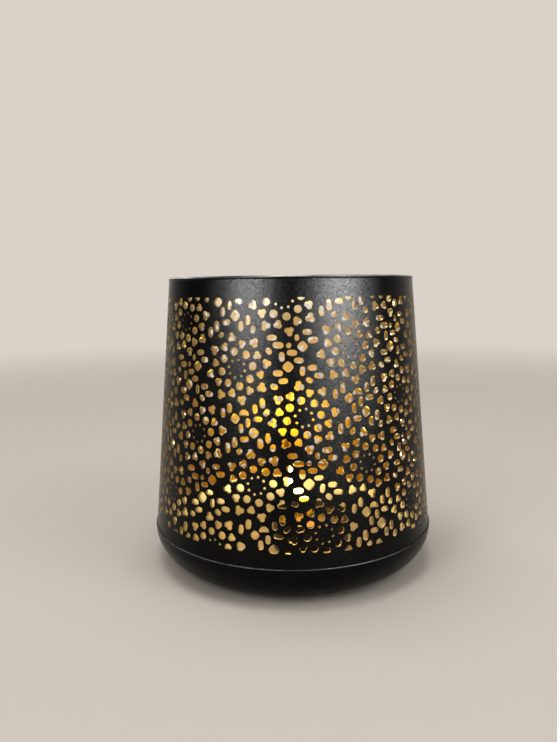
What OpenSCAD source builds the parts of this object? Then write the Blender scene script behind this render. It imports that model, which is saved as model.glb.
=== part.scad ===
// Pierced tea light holder: a tapered sheet-metal shade standing on a shallow dish,
// with a tea light loose inside. Millimetres, +Z up, origin under the middle of the dish,
// and the side that faces -Y is the front.

/* [Shade] */
// Outside diameter of the shade where it stands on the dish
shade_bottom_d = 132; // [100:1:180]
// How much narrower the shade is at its open top than at its bottom
shade_taper = 18.8; // [6:0.2:40]
// Height of the shade from the dish's shoulder to its top edge
shade_h = 115.2; // [80:0.2:160]
// Thickness of the shade's sheet
shade_t = 1.2; // [0.8:0.1:1.5]
// Diameter of the bead rolled round the top edge
bead_d = 1.8; // [1.7:0.1:2.6]

/* [Piercing] */
// Distance between the middles of two neighbouring rosettes, along the sheet
rosette_pitch = 33.2; // [28:0.1:45]
// Turn of the rosettes' square grid on the sheet
grid_turn = 35.7; // [0:0.1:90]
// Distance from the top edge down to the middle of the front rosette
front_drop = 55.5; // [45:0.5:65]
// Distance of the front rosette from the middle of the front
front_shift = 3.8; // [-10:0.2:10]
// Radius of the ring of round holes in a rosette
ring_r = 6.9; // [6:0.1:9]
// Diameter of a round hole in that ring
ring_hole_d = 3.2; // [2:0.1:4]
// Diameter across the lobes of a trefoil of a rosette's outer ring
outer_trefoil_d = 4.6; // [3.6:0.1:5]
// Diameter across the lobes of a trefoil of the ring inside that one
inner_trefoil_d = 4.2; // [3.2:0.1:4.6]
// Distance between these two rings
trefoil_rings_apart = 2.6; // [2.2:0.1:3.2]
// Metal left between the outer trefoils of two neighbouring rosettes
rosette_gap = 3.4; // [2:0.1:6]
// Size from corner to corner of the square holes between four rosettes
square_hole_d = 4.9; // [4:0.1:5.4]
// Distance between the middles of the two square holes there
squares_apart = 9.6; // [7:0.1:12]
// How far the two lie off the middle of the four rosettes
squares_shift = 1; // [0:0.1:3]
// Turn of a square hole against the line through the two
square_turn = 54.5; // [0:0.5:90]
// Plain strip left under the top edge
top_strip = 6.5; // [4:0.5:15]
// Plain strip left above the bottom edge
bottom_strip = 6.2; // [6:0.2:15]
// Plain strip left along the welded seam at the back
weld_strip = 5; // [3:0.5:10]

/* [Dish] */
// How far the dish's shoulder stands out past the shade's bottom edge
shoulder_out = 0.5; // [0.2:0.1:3]
// How far in from the shoulder the flat begins that the dish stands on
foot_in = 17.5; // [8:0.5:30]
// Height of the shoulder above the table
shoulder_h = 17.5; // [12:0.5:25]
// Thickness of the dish's sheet
dish_t = 0.9; // [0.6:0.1:1.5]
// Height of the collar that stands up inside the shade
collar_h = 5; // [3:0.5:5.5]

/* [Tea light] */
// Outside diameter of the cup
cup_d = 38; // [36:0.5:42]
// Height of the cup
cup_h = 16; // [14:0.5:20]
// Thickness of the cup's sheet
cup_t = 0.4; // [0.3:0.1:0.8]
// How far right of the dish's middle the cup stands
cup_x = 9; // [-15:0.5:15]
// How far behind the dish's middle the cup stands
cup_y = -2; // [-15:0.5:15]
// Depth of the wax
wax_h = 12; // [8:0.5:13]
// Diameter of the disc that holds the wick upright
tab_d = 12; // [8:0.5:16]
// Thickness of that disc's sheet
tab_t = 0.4; // [0.3:0.1:0.6]
// Outside diameter of the disc's neck
neck_d = 2.4; // [2.2:0.1:3.5]
// Height of the neck above the cup's floor
neck_h = 3.5; // [2:0.5:5]
// Diameter of the wick
wick_d = 1.2; // [0.8:0.1:1.4]
// Length of wick that stands out of the wax
wick_out = 5; // [3:0.5:8]

/* [Clearances] */
// Gap between the collar and the shade's inside
collar_gap = 0.3; // [0.1:0.1:0.6]
// Gap between the wax and what it surrounds or fills
wax_gap = 0.1; // [0.05:0.05:0.3]
// Gap between the wick and the neck's bore
wick_gap = 0.05; // [0.05:0.05:0.2]
// How far a cutting tool runs past the face that it cuts
overrun = 1; // [0.5:0.5:3]

/* [Hidden] */
$fn = 96;
ARC_STEPS = 12;
RING_HOLES = 8;
// A hole has only these many sides here, because each side is a face of the sheet
ROUND_SIDES = 6;
TREFOIL_SIDES = 3;
SQUARE_SIDES = 4;
// The shade is pierced in equal sectors, which build much faster than one whole shade
SECTORS = 8;
SECTOR_TURN = 360 / SECTORS;

shade_bottom_r = shade_bottom_d / 2;
shade_top_r = shade_bottom_r - shade_taper / 2;
bead_r = bead_d / 2;
cone_tilt = atan((shade_bottom_r - shade_top_r) / shade_h);
wall_across = shade_t / cos(cone_tilt);
top_z = shoulder_h + shade_h;

// The shade's sheet laid flat is part of a ring: these are its two radii
flat_bottom_r = shade_bottom_r / sin(cone_tilt);
flat_top_r = shade_top_r / sin(cone_tilt);
flat_front = [front_shift, flat_top_r + front_drop];
// Sheet points run this many rosettes out from the front one
grid_reach = ceil((PI * shade_bottom_r + shade_h) / rosette_pitch);
outer_ring_r = (rosette_pitch - rosette_gap - outer_trefoil_d) / 2;
inner_ring_r = outer_ring_r - trefoil_rings_apart;

dish_r = shade_bottom_r + shoulder_out;
foot_r = dish_r - foot_in;
collar_r = shade_inner_r(collar_h) - collar_gap;

cup_r = cup_d / 2;
cup_floor_z = dish_t + cup_t;
wick_bore_r = wick_d / 2 + wick_gap;

// Inside radius of the shade at a height above its bottom edge
function shade_inner_r(h) = shade_bottom_r - h * tan(cone_tilt) - wall_across;

// Point of a quarter ellipse that leaves [r0, z0] level and reaches [r1, z1] upright
function bowl_point(r0, z0, r1, z1, a) = [r0 + (r1 - r0) * sin(a), z1 - (z1 - z0) * cos(a)];
function bowl_arc(r0, z0, r1, z1) =
  [for (k = [0:ARC_STEPS]) bowl_point(r0, z0, r1, z1, 90 * k / ARC_STEPS)];
function backwards(points) = [for (k = [len(points) - 1:-1:0]) points[k]];

// A point of the flat sheet: rosette [i, j] counted from the front one, then a step from its
// middle, both along and across the grid
function sheet_point(i, j, step) =
  let (along = i * rosette_pitch + step[0], across = j * rosette_pitch + step[1])
    flat_front + [along * cos(grid_turn) - across * sin(grid_turn),
                  along * sin(grid_turn) + across * cos(grid_turn)];
function sheet_drop(p) = norm(p) - flat_top_r;
function sheet_turn(p) = atan2(p[0], p[1]) / sin(cone_tilt);
function sheet_to_weld(p) = norm(p) * sin(cone_tilt) * PI * (1 - abs(sheet_turn(p)) / 180);

// A hole is its middle on the flat sheet, its radius out to a corner, its sides and the way that
// its first corner points on the grid
function hole(i, j, from_middle, way, r, sides, points_to) =
  [sheet_point(i, j, from_middle * [cos(way), sin(way)]), r, sides, points_to];
function middle(h) = h[0];
function radius(h) = h[1];
function sides(h) = h[2];
function points_to(h) = h[3];

// A ring of holes round the middle of rosette [i, j], whose corners point out, or in after a turn
function hole_ring(i, j, ring_r, first, d, sides, turn) = [
  for (k = [0:RING_HOLES - 1])
    let (way = first + 360 * k / RING_HOLES) hole(i, j, ring_r, way, d / 2, sides, way + turn)
];

// The two square holes that follow rosette [i, j], in a line that turns from one pair to the next
function hole_pair(i, j) =
  let (way = (i + j) % 2 == 0 ? 90 : 0)
    [for (side = [-1, 1])
      hole(i + 1 / 2, j + 1 / 2, side * squares_apart / 2 - squares_shift, way,
           square_hole_d / 2, SQUARE_SIDES, way + square_turn)];

function holes_of(i, j) = concat(
  hole_ring(i, j, ring_r, 0, ring_hole_d, ROUND_SIDES, 0),
  hole_ring(i, j, inner_ring_r, 180 / RING_HOLES, inner_trefoil_d, TREFOIL_SIDES, 180),
  hole_ring(i, j, outer_ring_r, 0, outer_trefoil_d, TREFOIL_SIDES, 0),
  hole_pair(i, j)
);

// Whether a hole stays clear of the three plain strips
function on_band(h) =
  sheet_drop(middle(h)) > top_strip + radius(h)
  && sheet_drop(middle(h)) < flat_bottom_r - flat_top_r - bottom_strip - radius(h)
  && sheet_to_weld(middle(h)) > weld_strip / 2 + radius(h);

// Whether a hole reaches into sector n, counted from the weld at the back
function in_sector(h, n) =
  let (past = sheet_turn(middle(h)) + 180 - n * SECTOR_TURN,
       reach = asin((radius(h) + overrun) / shade_top_r))
    past > -reach && past < SECTOR_TURN + reach;

function shade_holes() = [
  for (i = [-grid_reach:grid_reach], j = [-grid_reach:grid_reach], h = holes_of(i, j))
    if (on_band(h)) h
];

// Cutter for one hole, square to the sheet
module pierce(h) {
  p = middle(h);
  flat_turn = atan2(p[0], p[1]);
  rotate([0, 0, sheet_turn(p)])
    translate([0, -norm(p) * sin(cone_tilt), top_z - sheet_drop(p) * cos(cone_tilt)])
      rotate([90 - cone_tilt, 0, 0])
        rotate([0, 0, -points_to(h) - grid_turn - flat_turn])
          cylinder(h = 2 * (shade_t + overrun), r = radius(h), center = true, $fn = sides(h));
}

module shade() {
  holes = shade_holes();
  color([0.06, 0.06, 0.055])
    for (n = [0:SECTORS - 1])
      difference() {
        translate([0, 0, shoulder_h])
          rotate([0, 0, 90 + n * SECTOR_TURN])
            rotate_extrude(angle = SECTOR_TURN)
              shade_section();
        for (h = holes)
          if (in_sector(h, n)) pierce(h);
      }
}

// The wall with the bead rolled along its top edge
module shade_section() {
  polygon([
    [shade_inner_r(0), 0],
    [shade_bottom_r, 0],
    [shade_top_r, shade_h],
    [shade_inner_r(shade_h), shade_h],
  ]);
  translate([shade_top_r - wall_across / 2, shade_h - bead_r])
    circle(r = bead_r, $fn = ARC_STEPS);
}

module dish() {
  color([0.09, 0.085, 0.08])
    rotate_extrude()
      polygon(concat(
        [[0, 0]],
        bowl_arc(foot_r, 0, dish_r, shoulder_h - dish_t),
        [[dish_r, shoulder_h],
         [collar_r, shoulder_h],
         [collar_r, shoulder_h + collar_h],
         [collar_r - dish_t, shoulder_h + collar_h],
         [collar_r - dish_t, shoulder_h - dish_t]],
        backwards(bowl_arc(foot_r, dish_t, dish_r - dish_t, shoulder_h - dish_t)),
        [[0, dish_t]]
      ));
}

// Everything of the tea light stands on the dish's floor, off its middle
module at_cup(z) {
  translate([cup_x, cup_y, z]) children();
}

module candle_cup() {
  color([0.05, 0.05, 0.05])
    difference() {
      at_cup(dish_t) cylinder(h = cup_h, r = cup_r);
      at_cup(cup_floor_z) cylinder(h = cup_h, r = cup_r - cup_t);
    }
}

module wax() {
  color([0.75, 0.62, 0.38])
    difference() {
      at_cup(cup_floor_z) cylinder(h = wax_h, r = cup_r - cup_t - wax_gap);
      at_cup(cup_floor_z - overrun) cylinder(h = tab_t + overrun, d = tab_d + 2 * wax_gap);
      at_cup(cup_floor_z - overrun) cylinder(h = neck_h + overrun, d = neck_d + 2 * wax_gap);
      at_cup(cup_floor_z) cylinder(h = wax_h + overrun, d = wick_d + 2 * wax_gap);
    }
}

module wick_tab() {
  color([0.7, 0.7, 0.72])
    difference() {
      union() {
        at_cup(cup_floor_z) cylinder(h = tab_t, d = tab_d);
        at_cup(cup_floor_z) cylinder(h = neck_h, d = neck_d);
      }
      at_cup(cup_floor_z - overrun) cylinder(h = neck_h + 2 * overrun, r = wick_bore_r);
    }
}

module wick() {
  color([0.12, 0.1, 0.08])
    at_cup(cup_floor_z) cylinder(h = wax_h + wick_out, d = wick_d);
}

dish();
shade();
candle_cup();
wax();
wick_tab();
wick();
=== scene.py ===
"""Pierced black and gold tea light holder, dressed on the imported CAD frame. Metres, +Z up.

Lengths below are written in millimetres, as in the CAD source, and turned into metres where the
meshes are made. The side that faces -Y is the front.
"""
import math
import random

import bmesh
import bpy
import numpy as np
from mathutils import Matrix, Vector, kdtree
from mathutils.geometry import delaunay_2d_cdt

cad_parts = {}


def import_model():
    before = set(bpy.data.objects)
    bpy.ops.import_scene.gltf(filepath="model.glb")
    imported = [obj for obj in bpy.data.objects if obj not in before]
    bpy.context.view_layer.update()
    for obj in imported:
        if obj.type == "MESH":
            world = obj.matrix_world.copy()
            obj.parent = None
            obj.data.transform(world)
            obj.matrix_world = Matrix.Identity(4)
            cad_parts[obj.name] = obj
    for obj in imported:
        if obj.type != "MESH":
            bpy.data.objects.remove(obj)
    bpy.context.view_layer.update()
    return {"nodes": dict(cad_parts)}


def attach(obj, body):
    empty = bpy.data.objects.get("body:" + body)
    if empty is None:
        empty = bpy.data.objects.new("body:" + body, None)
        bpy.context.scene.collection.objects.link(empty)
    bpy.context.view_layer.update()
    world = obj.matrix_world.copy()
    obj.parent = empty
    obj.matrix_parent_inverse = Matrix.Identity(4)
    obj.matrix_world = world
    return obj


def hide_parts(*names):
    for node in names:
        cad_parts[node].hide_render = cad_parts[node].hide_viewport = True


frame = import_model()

MM = 0.001

# Shade: a sheet-metal cone with a bead rolled along its top edge
SHADE_BOTTOM_R = 66.0
SHADE_TOP_R = 56.6
SHADE_H = 115.2
SHADE_T = 1.2
BEAD_R = 0.9
SHOULDER_Z = 17.5
TOP_Z = SHOULDER_Z + SHADE_H
TILT = math.atan((SHADE_BOTTOM_R - SHADE_TOP_R) / SHADE_H)
SIN_TILT, COS_TILT = math.sin(TILT), math.cos(TILT)

# The shade's sheet laid flat is part of a ring between these two radii
FLAT_TOP = SHADE_TOP_R / SIN_TILT
FLAT_BOTTOM = SHADE_BOTTOM_R / SIN_TILT

# Piercing: rosettes on a square grid, and a group of mixed holes in each square between them
PITCH = 33.2
GRID_TURN = math.radians(35.66)
FRONT_SHIFT = 3.8
FRONT_DROP = 55.5
BAND_TOP = 8.5
BAND_BOTTOM = 6.1
WELD_STRIP = 5.0

# Dish
DISH_R = 66.5
FOOT_R = 49.0
DISH_T = 0.9
COLLAR_H = 5.0
COLLAR_GAP = 0.3
COLLAR_R = SHADE_BOTTOM_R - COLLAR_H * math.tan(TILT) - SHADE_T / COS_TILT - COLLAR_GAP

# Tea light
CUP_X, CUP_Y = 9.0, -2.0
CUP_R, CUP_H, CUP_T = 19.0, 16.0, 0.4
CUP_FLOOR_Z = DISH_T + CUP_T
WAX_TOP_Z = CUP_FLOOR_Z + 12.0
WICK_TOP_Z = WAX_TOP_Z + 5.0


# Meshes

def new_object(name, mesh, body, replaced=()):
    obj = bpy.data.objects.new(name, mesh)
    bpy.context.scene.collection.objects.link(obj)
    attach(obj, body)
    if replaced:
        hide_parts(*replaced)
    return obj


def bent_corner(before, corner, after, radius, steps=5):
    """The points that round one corner of a profile."""
    c = Vector(corner)
    to_a, to_b = Vector(before) - c, Vector(after) - c
    reach = min(radius, to_a.length * 0.45, to_b.length * 0.45)
    a, b = c + to_a.normalized() * reach, c + to_b.normalized() * reach
    points = []
    for k in range(steps + 1):
        t = k / steps
        points.append(tuple(a * (1 - t) ** 2 + c * 2 * t * (1 - t) + b * t * t))
    return points


def rounded_profile(corners):
    """Turns (r, z) and (r, z, radius) corners into a plain profile with the corners rounded."""
    profile = []
    for k, corner in enumerate(corners):
        if len(corner) == 2 or k in (0, len(corners) - 1):
            profile.append(tuple(corner[:2]))
            continue
        profile += bent_corner(corners[k - 1][:2], corner[:2], corners[k + 1][:2], corner[2])
    return profile


def quarter_ellipse(r0, z0, r1, z1, steps=24):
    """Points from (r0, z0), level, to (r1, z1), upright."""
    angles = [math.pi / 2 * k / steps for k in range(steps + 1)]
    return [(r0 + (r1 - r0) * math.sin(a), z1 - (z1 - z0) * math.cos(a)) for a in angles]


def finished_mesh(bm, name, materials):
    """The built faces as a smooth mesh that faces outwards."""
    bmesh.ops.recalc_face_normals(bm, faces=bm.faces)
    mesh = bpy.data.meshes.new(name)
    bm.to_mesh(mesh)
    bm.free()
    for m in materials:
        mesh.materials.append(m)
    mesh.shade_smooth()
    return mesh


def skin_rings(bm, rings):
    """Faces between equal rings of vertices, with a face over each end."""
    for one, two in zip(rings, rings[1:]):
        for k in range(len(one)):
            n = (k + 1) % len(one)
            bm.faces.new([one[k], one[n], two[n], two[k]])
    for ring in (rings[0], rings[-1]):
        bm.faces.new(ring)


def lathe(name, profile, segments, materials, material_at=None, centre=(0, 0), closed=False):
    """Turns a profile of (r, z) points in millimetres round an upright axis."""
    bm = bmesh.new()
    rings = []
    for r, z in profile:
        if r < 1e-6:
            rings.append([bm.verts.new((centre[0] * MM, centre[1] * MM, z * MM))])
            continue
        ring = []
        for k in range(segments):
            a = 2 * math.pi * k / segments
            ring.append(bm.verts.new(((centre[0] + r * math.sin(a)) * MM,
                                      (centre[1] - r * math.cos(a)) * MM, z * MM)))
        rings.append(ring)
    pairs = list(zip(rings, rings[1:]))
    if closed:
        pairs.append((rings[-1], rings[0]))
    for step, (one, two) in enumerate(pairs):
        for k in range(segments):
            n = (k + 1) % segments
            corners = [one[k % len(one)], one[n % len(one)], two[n % len(two)], two[k % len(two)]]
            face = bm.faces.new(list(dict.fromkeys(corners)))
            face.material_index = material_at(step) if material_at else 0
    mesh = finished_mesh(bm, name, materials)
    mesh.set_sharp_from_angle(angle=math.radians(40))
    return mesh


def tube(name, path, radii, sides, material, wobble=0.0, seed=0):
    """A closed tube along points in millimetres, with its own radius at each point."""
    rng = random.Random(seed)
    bm = bmesh.new()
    rings = []
    for k, (p, r) in enumerate(zip(path, radii)):
        ahead = Vector(path[min(k + 1, len(path) - 1)]) - Vector(path[max(k - 1, 0)])
        along = ahead.normalized()
        side = along.cross(Vector((0, 1, 0))).normalized()
        other = along.cross(side)
        ring = []
        for s in range(sides):
            a = 2 * math.pi * s / sides
            rr = r * (1 + rng.uniform(-wobble, wobble))
            ring.append(bm.verts.new((Vector(p) + side * (rr * math.cos(a))
                                      + other * (rr * math.sin(a))) * MM))
        rings.append(ring)
    skin_rings(bm, rings)
    return finished_mesh(bm, name, [material])


def smooth_path(points, steps):
    """A smooth curve through the points, as steps + 1 points."""
    pts = [Vector(p) for p in points]
    pts = [pts[0] * 2 - pts[1]] + pts + [pts[-1] * 2 - pts[-2]]
    spans = len(pts) - 3
    out = []
    for k in range(steps + 1):
        x = spans * k / steps
        s = min(int(x), spans - 1)
        t = x - s
        a, b, c, d = pts[s:s + 4]
        out.append(0.5 * (2 * b + (c - a) * t + (2 * a - 5 * b + 4 * c - d) * t * t
                          + (3 * b - a - 3 * c + d) * t ** 3))
    return out


# Materials

def rgb(red, green, blue):
    """A colour written as 0 to 255, turned into the linear values that shaders take."""
    def linear(c):
        c /= 255
        return c / 12.92 if c <= 0.04045 else ((c + 0.055) / 1.055) ** 2.4
    return (linear(red), linear(green), linear(blue), 1.0)


def math_node(tree, operation, a, b):
    """A node's result for two inputs, each an output socket or a plain number."""
    node = tree.nodes.new("ShaderNodeMath")
    node.operation = operation
    for socket, value in zip(node.inputs, (a, b)):
        if isinstance(value, (int, float)):
            socket.default_value = value
        else:
            tree.links.new(value, socket)
    return node.outputs["Value"]


class Finish:
    """A Principled material whose colour, roughness and bump come from noise in metres."""

    def __init__(self, name, metallic=0.0, roughness=0.5, specular=0.5):
        self.material = bpy.data.materials.new(name)
        self.material.use_nodes = True
        self.nodes = self.material.node_tree.nodes
        self.links = self.material.node_tree.links
        self.shader = self.nodes["Principled BSDF"]
        self.shader.inputs["Metallic"].default_value = metallic
        self.shader.inputs["Roughness"].default_value = roughness
        self.shader.inputs["Specular IOR Level"].default_value = specular
        self.place = self.nodes.new("ShaderNodeTexCoord").outputs["Object"]

    def noise(self, size_mm, detail=2.0, stretch=None):
        tex = self.nodes.new("ShaderNodeTexNoise")
        tex.inputs["Scale"].default_value = 1000.0 / size_mm
        tex.inputs["Detail"].default_value = detail
        where = self.place
        if stretch:
            mapping = self.nodes.new("ShaderNodeMapping")
            mapping.inputs["Scale"].default_value = stretch
            self.links.new(where, mapping.inputs["Vector"])
            where = mapping.outputs["Vector"]
        self.links.new(where, tex.inputs["Vector"])
        return tex.outputs["Fac"]

    def spread(self, value, low, high, start=0.3, stop=0.7):
        node = self.nodes.new("ShaderNodeMapRange")
        node.inputs["From Min"].default_value = start
        node.inputs["From Max"].default_value = stop
        node.inputs["To Min"].default_value = low
        node.inputs["To Max"].default_value = high
        self.links.new(value, node.inputs["Value"])
        return node.outputs["Result"]

    def colours(self, value, stops, socket="Base Color"):
        ramp = self.nodes.new("ShaderNodeValToRGB")
        ramp.color_ramp.elements.remove(ramp.color_ramp.elements[1])
        ramp.color_ramp.elements[0].position = stops[0][0]
        ramp.color_ramp.elements[0].color = stops[0][1]
        for where, colour in stops[1:]:
            ramp.color_ramp.elements.new(where).color = colour
        self.links.new(value, ramp.inputs["Fac"])
        self.links.new(ramp.outputs["Color"], self.shader.inputs[socket])
        return ramp

    def height(self, low_mm, high_mm):
        """0 to 1 between two heights above the table."""
        place = self.nodes.new("ShaderNodeSeparateXYZ")
        self.links.new(self.place, place.inputs[0])
        return self.spread(place.outputs["Z"], 0.0, 1.0, low_mm * MM, high_mm * MM)

    def rough(self, value, low, high):
        self.links.new(self.spread(value, low, high), self.shader.inputs["Roughness"])

    def bump(self, value, strength, depth_mm):
        node = self.nodes.new("ShaderNodeBump")
        node.inputs["Strength"].default_value = strength
        node.inputs["Distance"].default_value = depth_mm * MM
        self.links.new(value, node.inputs["Height"])
        self.links.new(node.outputs["Normal"], self.shader.inputs["Normal"])


def black_coat(name, specular=0.065, low=0.20, high=0.23):
    """Satin black coat on metal, with a fine grain and faint clouding."""
    f = Finish(name, specular=specular)
    f.colours(f.noise(9.0, 4.0), [(0.35, rgb(4, 5, 4)), (0.65, rgb(8, 9, 7))])
    f.rough(f.noise(14.0, 2.0), low, high)
    speckle = f.spread(f.noise(0.8, 2.0), 0.65 * specular, 1.35 * specular)
    f.links.new(speckle, f.shader.inputs["Specular IOR Level"])
    f.bump(f.noise(0.5, 1.5), 0.8, 0.10)
    return f.material


def worn_coat_highlight(name, patch_mm, dark, light, metallic, specular):
    """The coat drawn as rubbed thin along an edge, grey metal showing in patches, lighter than the
    coat round it so that it paints a highlight along that edge.
    """
    f = Finish(name, metallic=metallic, specular=specular)
    f.colours(f.noise(patch_mm, 4.0), [(0.35, dark), (0.65, light)])
    f.rough(f.noise(3.0, 4.0), 0.35, 0.5)
    f.bump(f.noise(0.6, 2.0), 0.3, 0.10)
    return f.material


def gold_lacquer(name, low, high, stops, blur=None):
    """Gold lacquer. Its colours lie in patches, or, where blur is given, the one above the other
    from the shade's bottom to its top, each blurred into the next by that share of the height."""
    f = Finish(name, metallic=1.0)
    where = f.noise(7.0, 4.0)
    if blur:
        where = math_node(f.material.node_tree, "ADD", f.height(SHOULDER_Z, TOP_Z),
                          f.spread(where, -blur, blur))
    f.colours(where, stops)
    f.rough(f.noise(3.0, 4.0), low, high)
    f.bump(f.noise(0.8, 2.0), 0.12, 0.10)
    return f.material


def dark_tin(name):
    f = Finish(name, metallic=0.6)
    f.colours(f.noise(6.0, 3.0), [(0.35, rgb(20, 17, 14)), (0.65, rgb(34, 29, 24))])
    f.rough(f.noise(4.0, 4.0, (1, 1, 0.2)), 0.32, 0.48)
    f.bump(f.noise(1.2, 2.0, (1, 1, 0.1)), 0.10, 0.10)
    return f.material


def bare_tin(name):
    f = Finish(name, metallic=1.0)
    f.colours(f.noise(5.0, 3.0), [(0.35, rgb(34, 28, 20)), (0.65, rgb(52, 44, 32))])
    f.rough(f.noise(3.0, 4.0, (1, 1, 0.2)), 0.28, 0.42)
    f.bump(f.noise(1.0, 2.0, (1, 1, 0.1)), 0.10, 0.10)
    return f.material


def melted_wax(name):
    f = Finish(name, roughness=0.2, specular=0.2)
    f.colours(f.noise(6.0, 3.0), [(0.35, rgb(36, 25, 12)), (0.65, rgb(50, 35, 18))])
    f.rough(f.noise(4.0, 3.0), 0.03, 0.08)
    f.bump(f.noise(6.0, 2.0), 0.05, 0.2)
    f.shader.inputs["Subsurface Weight"].default_value = 0.15
    f.shader.inputs["Subsurface Radius"].default_value = (6 * MM, 3 * MM, 1.2 * MM)
    f.shader.inputs["Subsurface Scale"].default_value = 1.0
    # Painted glow: emission stands for the flame's light inside the wax, under the flame, which
    # leans over the wax to the left and the front
    away = f.nodes.new("ShaderNodeVectorMath")
    away.operation = "DISTANCE"
    away.inputs[1].default_value = ((CUP_X - 2.5) * MM, (CUP_Y - 3.0) * MM, WAX_TOP_Z * MM)
    f.links.new(f.place, away.inputs[0])
    near = f.spread(away.outputs["Value"], 0.0, 1.0, 0.0, 14 * MM)
    f.colours(near, [(0.0, rgb(255, 170, 80)), (0.3, rgb(240, 140, 60)), (0.5, rgb(190, 95, 25)),
                     (0.7, rgb(50, 27, 8)), (1.0, rgb(0, 0, 0))], "Emission Color")
    f.shader.inputs["Emission Strength"].default_value = 0.8
    return f.material


def charred_wick(name):
    f = Finish(name, roughness=0.9)
    up = f.height(WAX_TOP_Z - 1, WICK_TOP_Z)
    f.colours(up, [(0.0, rgb(120, 96, 60)), (0.25, rgb(30, 24, 20)), (1.0, rgb(14, 11, 10))])
    f.colours(up, [(0.86, rgb(0, 0, 0)), (1.0, rgb(255, 110, 30))], "Emission Color")
    f.shader.inputs["Emission Strength"].default_value = 1.0
    f.bump(f.noise(0.4, 3.0), 0.6, 0.15)
    return f.material


FLAME_LOW_Z, FLAME_HIGH_Z = 15.5, 43.5


def flame_glow(name):
    f = Finish(name, roughness=1.0, specular=0.0)
    f.shader.inputs["Base Color"].default_value = (0, 0, 0, 1)
    up = f.height(FLAME_LOW_Z, FLAME_HIGH_Z)
    f.colours(up, [(0.0, (0.05, 0.01, 0, 1)), (0.12, (0.1, 0.04, 0, 1)), (0.22, (0.1, 0.09, 0, 1)),
                   (0.33, (0.3, 0.25, 0, 1)), (0.42, (1, 0.75, 0.25, 1)), (1.0, (1, 0.7, 0.2, 1))],
              "Emission Color")
    f.shader.inputs["Emission Strength"].default_value = 9.0
    return f.material


BLACK = black_coat("shade_black_coat")
BLACK_DISH = black_coat("dish_black_coat", 0.06, 0.22, 0.26)
# A painted highlight along the dish's shoulder, as lighter, rubbed-looking coat
SHOULDER_HIGHLIGHT = worn_coat_highlight("dish_shoulder_painted_highlight", 8.0, rgb(10, 10, 9), rgb(60, 58, 55), 0.1, 0.15)
# A painted highlight along the bead's top, as lighter metallic coat in patches
RIM_HIGHLIGHT = worn_coat_highlight("shade_rim_painted_highlight", 30.0, rgb(40, 39, 37), rgb(170, 167, 160), 0.8, 0.5)
# Painted light and shade: deep amber near the flame stands for its warm light and the shade low
# down, and the gold grows paler towards the open top for daylight falling in
GOLD = gold_lacquer("gold_inside", 0.34, 0.44, [
    (0.1, rgb(156, 110, 36)), (0.25, rgb(170, 130, 56)), (0.4, rgb(182, 150, 88)),
    (0.6, rgb(184, 160, 116)), (0.85, rgb(180, 163, 132))], blur=0.07)
# The holes' cut edges, a little brighter along the lowest rows, which paints light onto them
GOLD_EDGE = gold_lacquer("gold_cut_edge", 0.32, 0.44, [
    (0.1, rgb(162, 145, 110)), (0.3, rgb(144, 126, 92)), (0.9, rgb(142, 124, 90))], blur=0.05)
# A paler copy of the gold for the dish's bowl, painted as a lit floor
GOLD_DISH = gold_lacquer("gold_dish_inside", 0.62, 0.72, [
    (0.35, rgb(200, 184, 138)), (0.65, rgb(212, 196, 156))])
CUP_DARK = dark_tin("cup_dark_tin")
# The cup's inside is far darker than bare tin: painted shade inside the cup
CUP_INSIDE = bare_tin("cup_bare_tin")
TAB_TIN = bare_tin("wick_tab_tin")
WAX = melted_wax("melted_wax")
WICK = charred_wick("charred_wick")
FLAME = flame_glow("flame_glow")


# The pierced sheet

def ring_of_points(radius_at, count):
    angles = [2 * math.pi * k / count for k in range(count)]
    return [(radius_at(a) * math.cos(a), radius_at(a) * math.sin(a)) for a in angles]


def round_hole(r, count=16):
    return ring_of_points(lambda a: r, count)


def trefoil(r, lobe):
    """Three blunt lobes with narrow notches between them."""
    return ring_of_points(lambda a: r + lobe * (math.cos(3 * a) - 0.3 * math.cos(6 * a)), 24)


def soft_square(r, lobe=0.15):
    return ring_of_points(lambda a: r + lobe * math.cos(4 * a), 20)


def oval(half_length, half_width, bend=0.0, power=2.5, count=18):
    points = []
    for k in range(count):
        a = 2 * math.pi * k / count
        c, s = math.cos(a), math.sin(a)
        x = math.copysign(abs(c) ** (2 / power), c)
        y = math.copysign(abs(s) ** (2 / power), s)
        points.append((x * half_length, y * half_width + bend * (0.4 - x * x)))
    return points


def drop(r):
    return ring_of_points(lambda a: r * (1 + 0.14 * math.cos(a) + 0.06 * math.cos(2 * a)), 16)


def placed(points, x, y, turn_deg, scale=1.0):
    c, s = math.cos(math.radians(turn_deg)), math.sin(math.radians(turn_deg))
    return [(x + scale * (px * c - py * s), y + scale * (px * s + py * c)) for px, py in points]


DOT_POINTS = 8


def rosette():
    """Holes of one rosette: dots, a ring of rounds and two rings of trefoils."""
    holes = []
    for k in range(8):
        on, between = 45.0 * k, 45.0 * k + 22.5
        for radius, angle, shape, turn in (
            (3.55, between, round_hole(0.58, DOT_POINTS), 0),
            (6.85, on, round_hole(1.6), 0),
            (10.05, between, trefoil(1.6, 0.25), between + 180),
            (12.6, on, trefoil(1.75, 0.34), on),
        ):
            a = math.radians(angle)
            holes.append((shape, radius * math.cos(a), radius * math.sin(a), turn))
    return holes


ALONG, ACROSS = 54.5, -35.5


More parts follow.
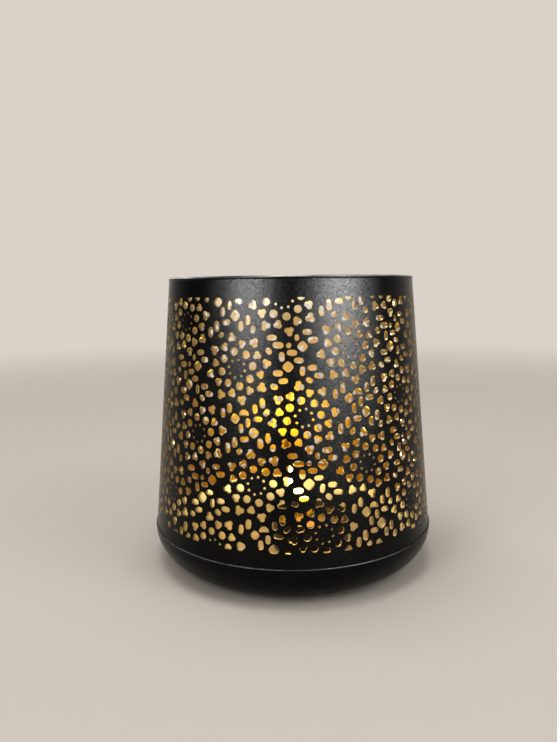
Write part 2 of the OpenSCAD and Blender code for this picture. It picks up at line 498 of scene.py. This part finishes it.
def square_group(odd):
    """Holes that fill the square between four rosettes: two soft squares among ovals."""
    holes = [
        (soft_square(2.1), 4.8, 0, ALONG),
        (soft_square(1.95), -4.8, 0, ALONG),
        (oval(2.2, 1.3), 0.35, 8.05, ALONG),
        (oval(1.87, 1.2), -0.35, -8.05, ALONG),
        (oval(1.95, 1.2), 3.1, 4.4, ACROSS),
        (oval(1.93, 1.15), 3.05, -5.45, ACROSS),
        (oval(1.4, 1.1), 4.15, 9.8, 105),
        (oval(1.5, 1.1), 4.3, -9.7, 90),
        (oval(1.5, 1.15), 14.4, 0.1, 70),
    ]
    for x, y, half_length, half_width in (
        (-0.5, 1.87, 1.92, 1.15), (-0.75, 11.8, 2.1, 1.2),
        (9.3, 1.85, 2.0, 1.25), (10.5, -1.7, 2.0, 1.2),
    ):
        holes.append((oval(half_length, half_width), x, y, ALONG))
        holes.append((oval(half_length, half_width), -x, -y, ALONG))
    if odd:
        holes.append((oval(2.2, 1.2, bend=-0.9), -3.0, -4.1, ACROSS))
    else:
        holes.append((drop(1.05), -2.27, 4.66, 0))
        holes.append((oval(1.3, 0.94), -6.45, 3.74, ACROSS))
    return holes


GROUP_SHIFT = -1.0

# How far the holes stray from the pattern: a share of their size, millimetres and degrees
SIZE_PLAY, PLACE_PLAY, TURN_PLAY = 0.05, 0.1, 5


def grid_holes():
    """Every hole as a loop of points on the flat sheet, before it is trimmed to the band."""
    rng = random.Random(7)
    reach = math.ceil((math.pi * SHADE_BOTTOM_R + SHADE_H) / PITCH)
    cg, sg = math.cos(GRID_TURN), math.sin(GRID_TURN)
    loops = []
    for i in range(-reach, reach + 1):
        for j in range(-reach, reach + 1):
            odd = (i + j) % 2 == 1
            motifs = [(i * PITCH, j * PITCH, 0.0, 0.0, rosette()),
                      ((i + 0.5) * PITCH, (j + 0.5) * PITCH, 0.0 if odd else 90.0,
                       GROUP_SHIFT, square_group(odd))]
            for along, across, turn, shift, holes in motifs:
                for shape, x, y, own_turn in holes:
                    grow = rng.uniform(1 - SIZE_PLAY, 1 + SIZE_PLAY)
                    loop = placed(shape, x + shift + rng.uniform(-PLACE_PLAY, PLACE_PLAY),
                                  y + rng.uniform(-PLACE_PLAY, PLACE_PLAY),
                                  own_turn + rng.uniform(-TURN_PLAY, TURN_PLAY), grow)
                    loop = placed(loop, along, across, turn)
                    loops.append([(FRONT_SHIFT + a * cg - b * sg,
                                   FLAT_TOP + FRONT_DROP + a * sg + b * cg) for a, b in loop])
    return loops


def around(points):
    """The points' convex outline, the positive way round, without those along its sides."""
    def chain(ordered):
        kept = []
        for p in ordered:
            while len(kept) > 1:
                (ax, ay), (bx, by) = kept[-2:]
                if (bx - ax) * (p[1] - ay) - (by - ay) * (p[0] - ax) > 1e-3:
                    break
                kept.pop()
            kept.append(p)
        return kept[:-1]
    ordered = sorted(points)
    return chain(ordered) + chain(ordered[::-1])


def softened(loop, rounds=2, far=0.72, near=0.28, short=0.35):
    """The loop with its corners cut off again and again, as the cut ends of holes are rounded.
    A short side becomes one point, so that the points don't crowd."""
    for _ in range(rounds):
        out = []
        for (u0, v0), (u1, v1) in zip(loop, loop[1:] + loop[:1]):
            if math.hypot(u1 - u0, v1 - v0) < short:
                out.append(((u0 + u1) / 2, (v0 + v1) / 2))
                continue
            out.append((u0 * far + u1 * near, v0 * far + v1 * near))
            out.append((u0 * near + u1 * far, v0 * near + v1 * far))
        loop = out
    return loop


LEAST_DEPTH = 0.8


def trimmed(loop):
    """The loop cut off flat at the band's two edges, or None where too little is left of it, where
    it is a dot that the edge cuts, or where it lies on the strip for the weld."""
    low, high = FLAT_TOP + BAND_TOP, FLAT_BOTTOM - BAND_BOTTOM
    out = []
    for u, v in loop:
        rho = math.hypot(u, v)
        kept = min(max(rho, low), high)
        out.append((u * kept / rho, v * kept / rho))
        to_weld = rho * SIN_TILT * (math.pi - abs(math.atan2(u, v)) / SIN_TILT)
        if to_weld < WELD_STRIP / 2:
            return None
    radii = [math.hypot(u, v) for u, v in out]
    was = [math.hypot(u, v) for u, v in loop]
    depth = max(radii) - min(radii)
    cut = depth < max(was) - min(was) - 1e-6
    if depth < LEAST_DEPTH or (cut and len(loop) <= DOT_POINTS):
        return None
    return softened(around(out)) if cut else out


def middle(loop):
    return sum(p[0] for p in loop) / len(loop), sum(p[1] for p in loop) / len(loop)


def apart(loops, clearance=0.35, shrink=0.9):
    """Shrinks holes that come too close to a neighbour, so that a bridge of metal is left.
    Returns the loops and how many were too close."""
    tree = kdtree.KDTree(sum(len(loop) for loop in loops))
    owner = []
    for h, loop in enumerate(loops):
        for u, v in loop:
            tree.insert((u, v, 0), len(owner))
            owner.append(h)
    tree.balance()
    tight = set()
    for h, loop in enumerate(loops):
        for u, v in loop:
            if any(owner[n] != h for _, n, _ in tree.find_range((u, v, 0), clearance)):
                tight.add(h)
                break
    out = []
    for h, loop in enumerate(loops):
        if h in tight:
            cu, cv = middle(loop)
            loop = [(cu + (u - cu) * shrink, cv + (v - cv) * shrink) for u, v in loop]
        out.append(loop)
    return out, len(tight)


def inside(u, v, loop):
    """Whether a point lies within a loop."""
    hit = False
    for (u0, v0), (u1, v1) in zip(loop, loop[1:] + loop[:1]):
        if (v0 > v) != (v1 > v) and u < (u1 - u0) * (v - v0) / (v1 - v0) + u0:
            hit = not hit
    return hit


# Points round the sheet's arcs and down its sides, the spacing of the points between the holes,
# how near they may come to a hole, and how far a hole reaches from its own middle
AROUND = 360
SIDE_STEPS = 44
GRID_STEP = 2.6
HOLE_GAP = 0.8
HOLE_REACH = 3.2

# The flat radius at which the wall meets its bead
WALL_TOP = FLAT_TOP + BEAD_R / COS_TILT

# Places in the sheet's list of materials
SHEET_FINISHES = (BLACK, GOLD, GOLD_EDGE)
OUTSIDE, INSIDE, CUT = range(3)


def flat_point(rho, share):
    """A point of the flat sheet, with share from -1 along its left side to 1 along its right."""
    half = math.pi * SIN_TILT
    return (rho * math.sin(half * share), rho * math.cos(half * share))


def sheet_border():
    """The sheet's outline: two arcs and the two straight sides that meet at the weld."""
    rows = [WALL_TOP + (FLAT_BOTTOM - WALL_TOP) * k / SIDE_STEPS for k in range(SIDE_STEPS + 1)]
    border = [("top", flat_point(WALL_TOP, -1 + 2 * k / AROUND)) for k in range(AROUND)]
    border += [("right", flat_point(rho, 1)) for rho in rows]
    border += [("bottom", flat_point(FLAT_BOTTOM, 1 - 2 * k / AROUND)) for k in range(1, AROUND)]
    border += [("left", flat_point(rho, -1)) for rho in reversed(rows[1:])]
    return border


def points_between(points, loops):
    """Points between the holes, which keep the triangles small enough to follow the round wall."""
    taken = kdtree.KDTree(len(points))
    for n, (u, v) in enumerate(points):
        taken.insert((u, v, 0), n)
    taken.balance()
    middles = kdtree.KDTree(len(loops))
    for h, loop in enumerate(loops):
        middles.insert((*middle(loop), 0), h)
    middles.balance()
    turns = round(2 * math.pi * (SHADE_BOTTOM_R + SHADE_TOP_R) / 2 / GRID_STEP)
    levels = round((FLAT_BOTTOM - WALL_TOP) / GRID_STEP)
    found = []
    for row in range(1, levels):
        rho = WALL_TOP + (FLAT_BOTTOM - WALL_TOP) * row / levels
        for k in range(1, turns):
            u, v = flat_point(rho, -1 + 2 * (k + 0.5 * (row % 2)) / turns)
            if taken.find((u, v, 0))[2] < HOLE_GAP:
                continue
            around_it = middles.find_range((u, v, 0), HOLE_REACH)
            if not any(inside(u, v, loops[h]) for _, h, _ in around_it):
                found.append((u, v))
    return found


def metal_triangles(points, edges, owner, loops, top_arc):
    """The flat sheet's triangles, without those in a hole and those outside the top arc. The owner
    of a point is its hole's number, or -1 where it belongs to none."""
    got, _, faces, _, _, _ = delaunay_2d_cdt([Vector(p) for p in points], edges, [], 0, 1e-7, True)
    if len(got) != len(points):
        raise ValueError("two holes of the sheet cross")
    kept = []
    for face in faces:
        owners = {owner[n] for n in face}
        if len(owners) == 1 and -1 not in owners:
            u, v = middle([points[n] for n in face])
            if inside(u, v, loops[owners.pop()]):
                continue
        if not all(n in top_arc for n in face):
            kept.append(tuple(face))
    return kept


def pierced_sheet():
    """The shade's wall. It is laid out flat, cut into triangles round its holes, and rolled up."""
    loops = [loop for loop in map(trimmed, grid_holes()) if loop]
    for _ in range(6):
        loops, tight = apart(loops)
        if not tight:
            break

    points, edges, owner = [], [], []
    for h, loop in enumerate(loops):
        first = len(points)
        points += loop
        owner += [h] * len(loop)
        edges += [(first + k, first + (k + 1) % len(loop)) for k in range(len(loop))]
    border = sheet_border()
    first_border = len(points)
    edges += [(first_border + k, first_border + (k + 1) % len(border)) for k in range(len(border))]
    points += [p for _, p in border]
    points += points_between(points, loops)
    owner += [-1] * (len(points) - len(owner))
    top_arc = set(range(first_border, first_border + AROUND + 1))
    kept = metal_triangles(points, edges, owner, loops, top_arc)

    # Flat points rolled up into the cone, outside and inside
    flat = np.array(points)
    rho = np.hypot(flat[:, 0], flat[:, 1])
    theta = np.arctan2(flat[:, 0], flat[:, 1]) / SIN_TILT
    sin, cos = np.sin(theta), np.cos(theta)
    r, z = rho * SIN_TILT, TOP_Z - (rho - FLAT_TOP) * COS_TILT
    outer = np.stack([r * sin, -r * cos, z], 1)
    normal = np.stack([COS_TILT * sin, -COS_TILT * cos, np.full(len(r), SIN_TILT)], 1)
    level = np.stack([sin, -cos, np.zeros(len(r))], 1)
    on_edge = (np.abs(rho - WALL_TOP) < 1e-6) | (np.abs(rho - FLAT_BOTTOM) < 1e-6)
    inner = np.where(on_edge[:, None], outer - level * SHADE_T / COS_TILT, outer - normal * SHADE_T)
    east = np.stack([cos, sin, np.zeros(len(r))], 1)
    down = np.stack([SIN_TILT * sin, -SIN_TILT * cos, np.full(len(r), -COS_TILT)], 1)

    # The two sides of the sheet are one and the same line of points at the weld. The border's
    # first point is the upper end of the left side.
    n_flat = len(points)
    same = np.arange(n_flat)
    right = {round(rho[first_border + k], 4): first_border + k
             for k, (side, _) in enumerate(border) if side == "right"}
    for k, (side, _) in enumerate(border):
        if side == "left" or k == 0:
            same[first_border + k] = right[round(rho[first_border + k], 4)]

    a, b, c = outer[list(kept[0])]
    outward = np.dot(np.cross(b - a, c - a), normal[kept[0][0]]) > 0
    polygons, corner_normals, indices = [], [], []

    def add(corners, normals, material):
        polygons.append(corners)
        corner_normals.extend(normals)
        indices.append(material)

    for f in kept:
        f = f if outward else f[::-1]
        out = [int(same[n]) for n in f]
        add(out, [normal[n] for n in f], OUTSIDE)
        add([n + n_flat for n in reversed(out)], [-normal[n] for n in reversed(f)], INSIDE)

    start = 0
    for loop in loops:
        count = len(loop)
        p = np.array(loop)
        ahead = np.roll(p, -1, 0) - np.roll(p, 1, 0)
        ahead /= np.linalg.norm(ahead, axis=1)[:, None]
        # Pointing into the hole, for a loop that runs the positive way round
        to_middle = np.stack([-ahead[:, 1], ahead[:, 0]], 1)
        ids = start + np.arange(count)
        # On the flat sheet u runs east along the tangent and v runs down, turned by the point's
        # own place in the ring
        phi = theta[ids] * SIN_TILT
        u_east, v_east = np.cos(phi), -np.sin(phi)
        u_down, v_down = np.sin(phi), np.cos(phi)
        wall = (east[ids] * (to_middle[:, 0] * u_east + to_middle[:, 1] * v_east)[:, None]
                + down[ids] * (to_middle[:, 0] * u_down + to_middle[:, 1] * v_down)[:, None])
        for k in range(count):
            n = (k + 1) % count
            i0, i1 = int(ids[k]), int(ids[n])
            quad = [i0, i1, i1 + n_flat, i0 + n_flat]
            normals = [wall[k], wall[n], wall[n], wall[k]]
            p0, p1, p2 = outer[i0], outer[i1], inner[i1]
            if np.dot(np.cross(p1 - p0, p2 - p0), wall[k]) < 0:
                quad, normals = quad[::-1], normals[::-1]
            add(quad, normals, CUT)
        start += count

    # The cut edges along the top and the bottom close the sheet
    for k, (side, _) in enumerate(border):
        n = (k + 1) % len(border)
        ends = {side, border[n][0]}
        if "bottom" in ends:
            face_normal = np.array([0, 0, -1.0])
        elif ends in ({"top"}, {"top", "right"}):
            face_normal = np.array([0, 0, 1.0])
        else:
            continue
        i0, i1 = first_border + k, first_border + n
        quad = [i0, i1, i1 + n_flat, i0 + n_flat]
        p0, p1, p2 = outer[i0], outer[i1], inner[i1]
        if np.dot(np.cross(p1 - p0, p2 - p0), face_normal) < 0:
            quad = quad[::-1]
        quad = [int(same[q % n_flat]) + (q // n_flat) * n_flat for q in quad]
        add(quad, [face_normal] * 4, OUTSIDE)

    verts = np.concatenate([outer, inner]) * MM
    used = sorted({n for face in polygons for n in face})
    number = {old: new for new, old in enumerate(used)}
    mesh = bpy.data.meshes.new("shade_sheet")
    mesh.from_pydata(verts[used].tolist(), [], [[number[n] for n in face] for face in polygons])
    for m in SHEET_FINISHES:
        mesh.materials.append(m)
    mesh.polygons.foreach_set("material_index", indices)
    mesh.shade_smooth()
    mesh.normals_split_custom_set(np.array(corner_normals).tolist())
    mesh.update()
    return mesh


new_object("shade_sheet", pierced_sheet(), "holder", ("shade",))

# The bead is black outside, gold inside, and along its top a lighter metallic coat that looks
# rubbed thin and paints a highlight there. Its sides are counted from the outermost point upwards.
BEAD_FINISHES = (BLACK, GOLD, RIM_HIGHLIGHT)
bead_sides = [BLACK] + [RIM_HIGHLIGHT] * 4 + [GOLD] * 7 + [BLACK] * 4
bead_mid = SHADE_TOP_R - SHADE_T / COS_TILT / 2
bead = [(bead_mid + x, TOP_Z - BEAD_R + z)
        for x, z in ring_of_points(lambda a: BEAD_R, len(bead_sides))]
new_object("shade_bead", lathe("shade_bead", bead, 240, BEAD_FINISHES,
                               lambda step: BEAD_FINISHES.index(bead_sides[step]), closed=True),
           "holder", ("shade",))

# The weld that closes the shade at the back, a low bead outside and inside the sheet
WELD_HALF_WIDTH = 0.8
WELD_PROUD = 0.18
WELD_SUNK = 0.1
WELD_LOW = 0.4
WELD_HIGH = SHADE_H - 2 * BEAD_R - 0.2


def weld_bead(name, wall_r, proud, material):
    """A half-round bead up the back of a cone whose radius at its bottom is wall_r.
    A negative proud stands out towards the axis."""
    rng = random.Random(5)
    bm = bmesh.new()
    rings = []
    levels, across = 120, 6
    out = Vector((0, COS_TILT, SIN_TILT))
    for level in range(levels + 1):
        h = WELD_LOW + (WELD_HIGH - WELD_LOW) * level / levels
        centre = Vector((0, wall_r - h * math.tan(TILT), SHOULDER_Z + h))
        wobble = rng.uniform(0.85, 1.1)
        ring = []
        for k in range(2 * across):
            a = math.pi * k / across
            rise = math.sin(a) * (proud if k < across else math.copysign(WELD_SUNK, proud))
            side = Vector((WELD_HALF_WIDTH * wobble * math.cos(a), 0, 0))
            ring.append(bm.verts.new((centre + side + out * rise) * MM))
        rings.append(ring)
    skin_rings(bm, rings)
    return finished_mesh(bm, name, [material])


for name, wall_r, proud, material in (
    ("shade_weld_outside", SHADE_BOTTOM_R, WELD_PROUD, BLACK),
    ("shade_weld_inside", SHADE_BOTTOM_R - SHADE_T / COS_TILT, -WELD_PROUD, GOLD),
):
    new_object(name, weld_bead(name, wall_r, proud, material), "holder")


# Dish

outer_bowl = quarter_ellipse(FOOT_R, 0, DISH_R, SHOULDER_Z - DISH_T)
inner_bowl = quarter_ellipse(FOOT_R, DISH_T, DISH_R - DISH_T, SHOULDER_Z - DISH_T)[::-1]
dish_profile = rounded_profile(
    [(0, 0.4), (FOOT_R - 9, 0.4, 1.5), (FOOT_R - 7, 0, 1.5)] + outer_bowl
    + [(DISH_R, SHOULDER_Z, 0.45), (COLLAR_R, SHOULDER_Z, 0.2),
       (COLLAR_R, SHOULDER_Z + COLLAR_H, 0.25),
       (COLLAR_R - DISH_T, SHOULDER_Z + COLLAR_H, 0.25),
       (COLLAR_R - DISH_T, SHOULDER_Z - DISH_T, 0.3)]
    + inner_bowl + [(0, DISH_T)])
collar_top = max(range(len(dish_profile)), key=lambda k: dish_profile[k][1])

# Places in the dish's list of materials
DISH_FINISHES = (BLACK_DISH, GOLD_DISH, SHOULDER_HIGHLIGHT, GOLD)
COATED, PALE, SHOULDER_LIT, AMBER = range(4)


def dish_finish(step):
    """Gold from the collar's top inwards, black outside, and where the shoulder turns a lighter,
    rubbed-looking coat that paints a highlight.
    The collar is as amber as the shade round it, a painted shade, and the bowl below it is paler,
    painted as a lit floor."""
    (r0, z0), (r1, z1) = dish_profile[step:step + 2]
    if step >= collar_top:
        return AMBER if z1 > SHOULDER_Z - DISH_T - 0.5 else PALE
    turning = min(r0, r1) > DISH_R - 0.5 and z1 > SHOULDER_Z - 0.46 and z1 - z0 < 0.3
    return SHOULDER_LIT if turning else COATED


new_object("dish_shell", lathe("dish_shell", dish_profile, 256, DISH_FINISHES, dish_finish),
           "holder", ("dish",))


# Tea light

cup_base = DISH_T + 0.02
cup_top = DISH_T + CUP_H
cup_profile = rounded_profile([
    (0, cup_base + 0.5), (CUP_R - 3.2, cup_base + 0.5, 0.6), (CUP_R - 2.4, cup_base, 0.5),
    (CUP_R - 0.35, cup_base, 1.4), (CUP_R - 0.25, cup_top - 1.2, 0.4), (CUP_R, cup_top - 0.7, 0.3),
    (CUP_R, cup_top, 0.3), (CUP_R - 0.75, cup_top, 0.3), (CUP_R - 0.7, cup_top - 1.3, 0.4),
    (CUP_R - 0.75, CUP_FLOOR_Z + 0.1, 1.2), (0, CUP_FLOOR_Z + 0.1)])
cup_lip = max(range(len(cup_profile)), key=lambda k: (cup_profile[k][1], -k))
new_object("cup_shell", lathe("cup_shell", cup_profile, 128, [CUP_DARK, CUP_INSIDE],
                              lambda step: 1 if step > cup_lip + 4 else 0, (CUP_X, CUP_Y)),
           "tealight", ("candle_cup",))

wax_r = CUP_R - 0.85
wax_profile = rounded_profile([
    (0.75, CUP_FLOOR_Z + 4), (wax_r - 0.4, CUP_FLOOR_Z + 0.3, 0.5), (wax_r, WAX_TOP_Z + 0.45, 0.1),
    (wax_r - 0.3, WAX_TOP_Z + 0.1, 0.3), (wax_r - 1.4, WAX_TOP_Z - 0.1, 0.6),
    (wax_r - 2.6, WAX_TOP_Z - 0.5, 0.8), (3.0, WAX_TOP_Z - 0.55, 1.2), (0.95, WAX_TOP_Z + 0.1, 0.5),
    (0.75, WAX_TOP_Z + 0.35)])
new_object("wax_body", lathe("wax_body", wax_profile, 96, [WAX], None, (CUP_X, CUP_Y), closed=True),
           "tealight", ("wax",))

# The wick is straight up to the wax, bends to the left above it and ends in a blunt charred tip
wick_path = smooth_path([
    (CUP_X, CUP_Y, CUP_FLOOR_Z + 0.2), (CUP_X, CUP_Y, CUP_FLOOR_Z + 8),
    (CUP_X, CUP_Y, WAX_TOP_Z + 1), (CUP_X - 0.3, CUP_Y, WAX_TOP_Z + 3),
    (CUP_X - 1.3, CUP_Y, WICK_TOP_Z - 0.35)], 40)
wick_radii = [0.6] * 38 + [0.62, 0.6, 0.45]
new_object("wick_cord", tube("wick_cord", wick_path, wick_radii, 12, WICK, wobble=0.06, seed=3),
           "tealight", ("wick",))

# The flame leans to the left in the draught, and is thin at its base and drawn out at its tip
FLAME_STEPS = 36
flame_path = smooth_path([
    (CUP_X - 0.6, CUP_Y, FLAME_LOW_Z), (CUP_X - 1.6, CUP_Y, 20.0), (CUP_X - 4.6, CUP_Y, 27.0),
    (CUP_X - 8.4, CUP_Y, 34.0), (CUP_X - 9.2, CUP_Y, FLAME_HIGH_Z)], FLAME_STEPS)
flame_radii = [0.12 + 3.0 * math.sin(math.pi * (k / FLAME_STEPS) ** 1.05) ** 0.7
               for k in range(FLAME_STEPS + 1)]
flame = new_object("flame", tube("flame", flame_path, flame_radii, 24, FLAME), "tealight")
flame.visible_shadow = False

tab = frame["nodes"]["wick_tab"]
tab.data.materials.clear()
tab.data.materials.append(TAB_TIN)


# The flame's lamp sits this many millimetres to the left of the flame's middle line
LAMP_SHIFT = 2.5


# Lights, floor and camera. Sizes and distances here are in metres.

def flame_lamp():
    """The light of the flame, which rides with it."""
    data = bpy.data.lights.new("flame_lamp", "POINT")
    data.energy = 0.11
    data.color = (1.0, 0.90, 0.10)
    data.shadow_soft_size = 0.003
    lamp = bpy.data.objects.new("flame_lamp", data)
    bpy.context.scene.collection.objects.link(lamp)
    lamp.location = (flame_path[FLAME_STEPS // 2 - 1] - Vector((LAMP_SHIFT, 0, 0))) * MM
    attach(lamp, "tealight")


def soft_box(name, azimuth, elevation, distance, width, height, watts, only_gloss=False):
    """A lamp that faces the object. Azimuth and elevation are in degrees, and azimuth is counted
    from the front to the right. A lamp that is only_gloss is mirrored by coats and metal and
    leaves the floor's level alone."""
    data = bpy.data.lights.new(name, "AREA")
    data.shape = "RECTANGLE"
    data.size, data.size_y = width, height
    data.energy = watts
    lamp = bpy.data.objects.new(name, data)
    bpy.context.scene.collection.objects.link(lamp)
    lamp.visible_diffuse = not only_gloss
    a, e = math.radians(azimuth), math.radians(elevation)
    away = Vector((math.sin(a) * math.cos(e), -math.cos(a) * math.cos(e), math.sin(e)))
    lamp.location = away * distance + Vector((0, 0, 0.07))
    lamp.rotation_euler = away.to_track_quat("Z", "Y").to_euler()


BACKDROP = rgb(218, 210, 201)

# The way to the lit side of the room, behind the object and a little to the right
LIT_WAY = (0.30, 0.93, 0.20)


def world(ambient, shade_side, lit_side):
    """Soft room light. The camera and clear surfaces see the pale backdrop, and so does gloss on
    the lit side behind the object. It falls off to the dim side behind the camera."""
    w = bpy.data.worlds.new("studio")
    bpy.context.scene.world = w
    w.use_nodes = True
    nodes, links = w.node_tree.nodes, w.node_tree.links
    back = nodes["Background"]
    back.inputs["Color"].default_value = BACKDROP
    path = nodes.new("ShaderNodeLightPath")
    where = nodes.new("ShaderNodeTexCoord").outputs["Generated"]
    lit = nodes.new("ShaderNodeVectorMath")
    lit.operation = "DOT_PRODUCT"
    lit.inputs[1].default_value = LIT_WAY
    links.new(where, lit.inputs[0])
    fall = nodes.new("ShaderNodeMapRange")
    fall.inputs["From Min"].default_value = 0.0
    fall.inputs["From Max"].default_value = 0.8
    fall.inputs["To Min"].default_value = shade_side
    fall.inputs["To Max"].default_value = lit_side
    links.new(lit.outputs["Value"], fall.inputs["Value"])

    glossy = path.outputs["Is Glossy Ray"]
    seen = math_node(w.node_tree, "MAXIMUM", path.outputs["Is Camera Ray"],
                     path.outputs["Is Transmission Ray"])
    mirrored = math_node(w.node_tree, "MULTIPLY", glossy, fall.outputs["Result"])
    neither = math_node(w.node_tree, "SUBTRACT", 1.0,
                        math_node(w.node_tree, "MAXIMUM", seen, glossy))
    total = math_node(w.node_tree, "ADD", math_node(w.node_tree, "ADD", seen, mirrored),
                      math_node(w.node_tree, "MULTIPLY", neither, ambient))
    links.new(total, back.inputs["Strength"])


def floor():
    """A pale floor that keeps the shadow near the object and fades into the white background."""
    bpy.ops.mesh.primitive_plane_add(size=8, location=(0, 0, -0.0003))
    plane = bpy.context.object
    plane.name = "floor"
    m = bpy.data.materials.new("pale_floor")
    m.use_nodes = True
    nodes, links = m.node_tree.nodes, m.node_tree.links
    shader, out = nodes["Principled BSDF"], nodes["Material Output"]
    shader.inputs["Base Color"].default_value = rgb(218, 211, 203)
    shader.inputs["Roughness"].default_value = 0.85
    shader.inputs["Specular IOR Level"].default_value = 0.0
    glow = nodes.new("ShaderNodeEmission")
    glow.inputs["Color"].default_value = BACKDROP
    path = nodes.new("ShaderNodeLightPath")
    mix = nodes.new("ShaderNodeMixShader")
    length = nodes.new("ShaderNodeVectorMath")
    length.operation = "LENGTH"
    links.new(nodes.new("ShaderNodeTexCoord").outputs["Object"], length.inputs[0])
    fade = nodes.new("ShaderNodeMapRange")
    fade.interpolation_type = "SMOOTHSTEP"
    fade.inputs["From Min"].default_value = 0.30
    fade.inputs["From Max"].default_value = 1.2
    links.new(length.outputs["Value"], fade.inputs["Value"])
    direct = path.outputs["Is Camera Ray"]
    for ray in ("Is Glossy Ray", "Is Transmission Ray"):
        direct = math_node(m.node_tree, "MAXIMUM", direct, path.outputs[ray])
    links.new(math_node(m.node_tree, "MULTIPLY", direct, fade.outputs["Result"]),
              mix.inputs["Fac"])
    links.new(shader.outputs["BSDF"], mix.inputs[1])
    links.new(glow.outputs["Emission"], mix.inputs[2])
    links.new(mix.outputs["Shader"], out.inputs["Surface"])
    plane.data.materials.append(m)


def camera():
    """The photograph's viewpoint: just below the rim's height, looking slightly down. Its pitch
    and roll are in radians."""
    data = bpy.data.cameras.new("camera")
    data.lens = 30.39
    data.sensor_width = 36.0
    data.sensor_fit = "AUTO"
    data.clip_start = 0.01
    cam = bpy.data.objects.new("camera", data)
    bpy.context.scene.collection.objects.link(cam)
    pitch, roll = 0.13432, -0.01135
    ahead = Vector((0, math.cos(pitch), -math.sin(pitch)))
    right0, up0 = Vector((1, 0, 0)), Vector((0, math.sin(pitch), math.cos(pitch)))
    right = right0 * math.cos(roll) + up0 * math.sin(roll)
    up = up0 * math.cos(roll) - right0 * math.sin(roll)
    place = Matrix((right, up, -ahead)).transposed().to_4x4()
    place.translation = Vector((-0.00606, -0.30056, 0.12839))
    cam.matrix_world = place
    bpy.context.scene.camera = cam


flame_lamp()
soft_box("right_window", 42, 13, 1.0, 0.56, 0.16, 31, only_gloss=True)
soft_box("right_glow", 42, 8, 1.02, 1.3, 0.3, 18, only_gloss=True)
soft_box("right_high", 57, 42, 1.0, 0.45, 0.5, 1.9)
soft_box("left_window", -37, 13, 1.0, 0.5, 0.16, 20, only_gloss=True)
soft_box("left_glow", -40, 13, 1.02, 1.2, 0.16, 7, only_gloss=True)
soft_box("left_high", -40, 42, 1.0, 0.3, 0.5, 1.4)
soft_box("left_side", -112, 38, 1.0, 0.6, 0.5, 9.0, only_gloss=True)
soft_box("top_light", -90, 84, 1.2, 0.7, 0.7, 6.2)
world(0.5, 0.06, 1.0)
floor()
camera()
bpy.context.scene.view_settings.view_transform = "Standard"
